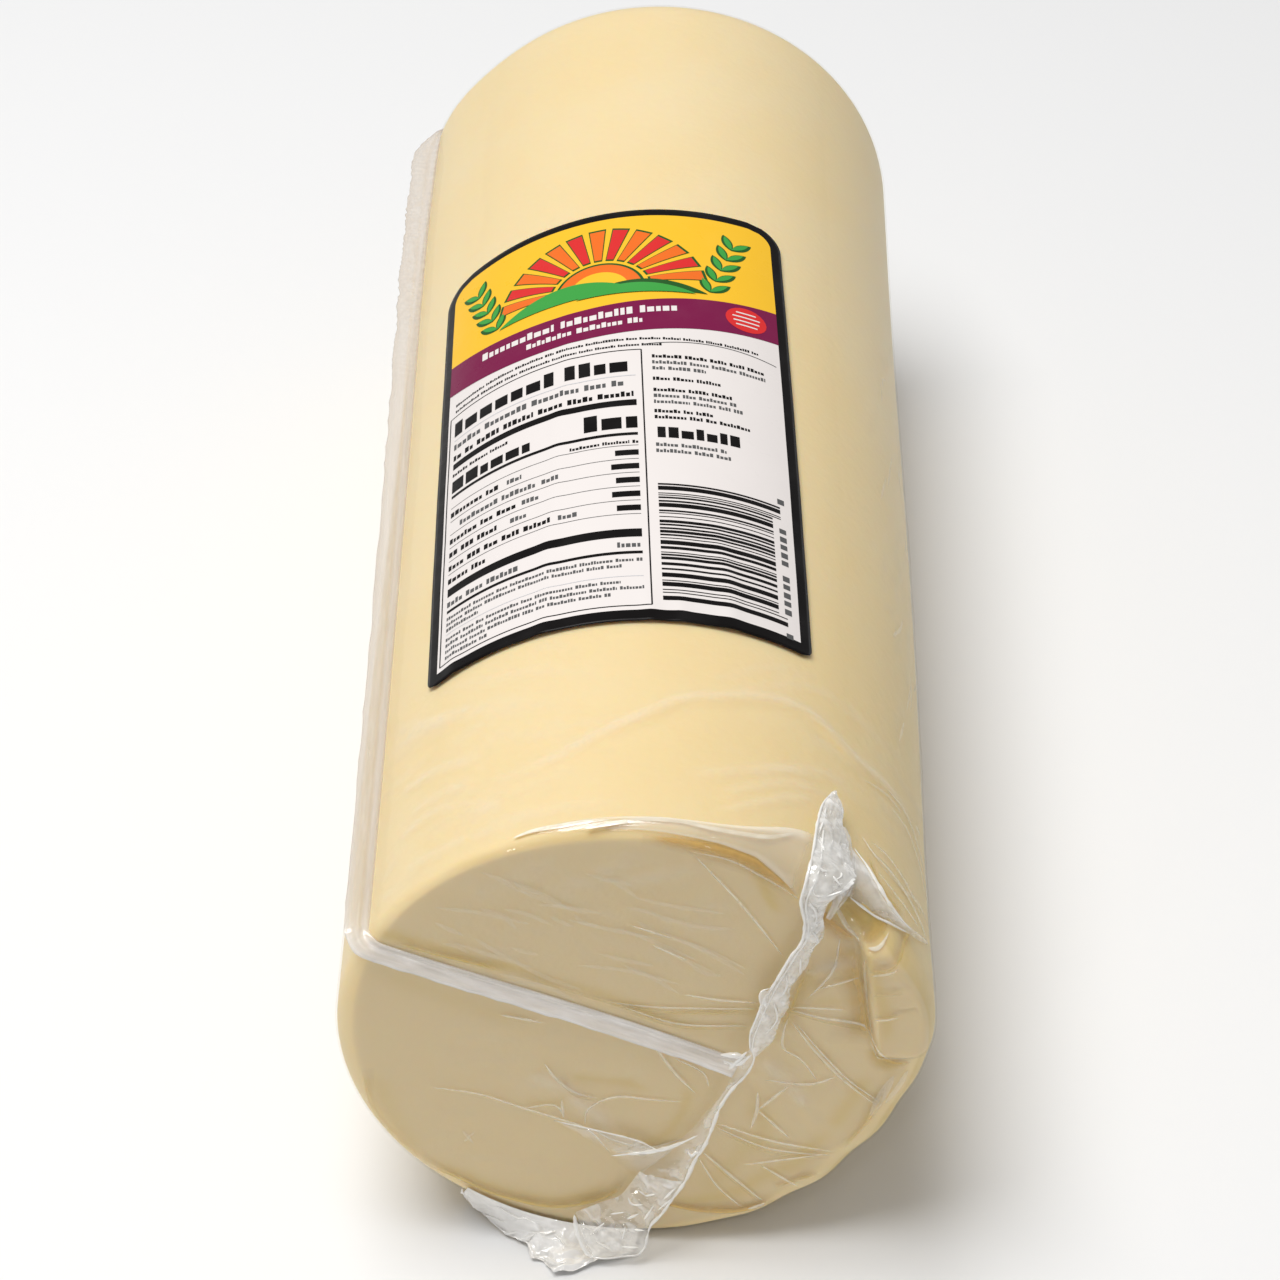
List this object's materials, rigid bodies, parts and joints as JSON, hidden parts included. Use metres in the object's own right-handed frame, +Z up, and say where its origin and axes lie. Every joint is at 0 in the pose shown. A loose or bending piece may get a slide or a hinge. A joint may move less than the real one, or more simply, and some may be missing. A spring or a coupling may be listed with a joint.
{
  "type": "provolone cheese log in a clear bag",
  "caption": "Whole deli log of provolone cheese, vacuum-packed in a clear shrink bag with a printed label on its side, lying on its side.",
  "frame": {"origin": "middle of the flat that the log rests on, on the floor", "axes": "+Y along the log from its gathered near end to its far end, +Z up, +X to the right seen from the near end"},
  "size_m": [0.1393, 0.3643, 0.1337],
  "materials": {
    "cheese": "satin",
    "film": "gloss",
    "label": "gloss"
  },
  "bodies": {
    "root": {"bagged_cheese": "cheese", "label": "label"}
  },
  "joints": []
}
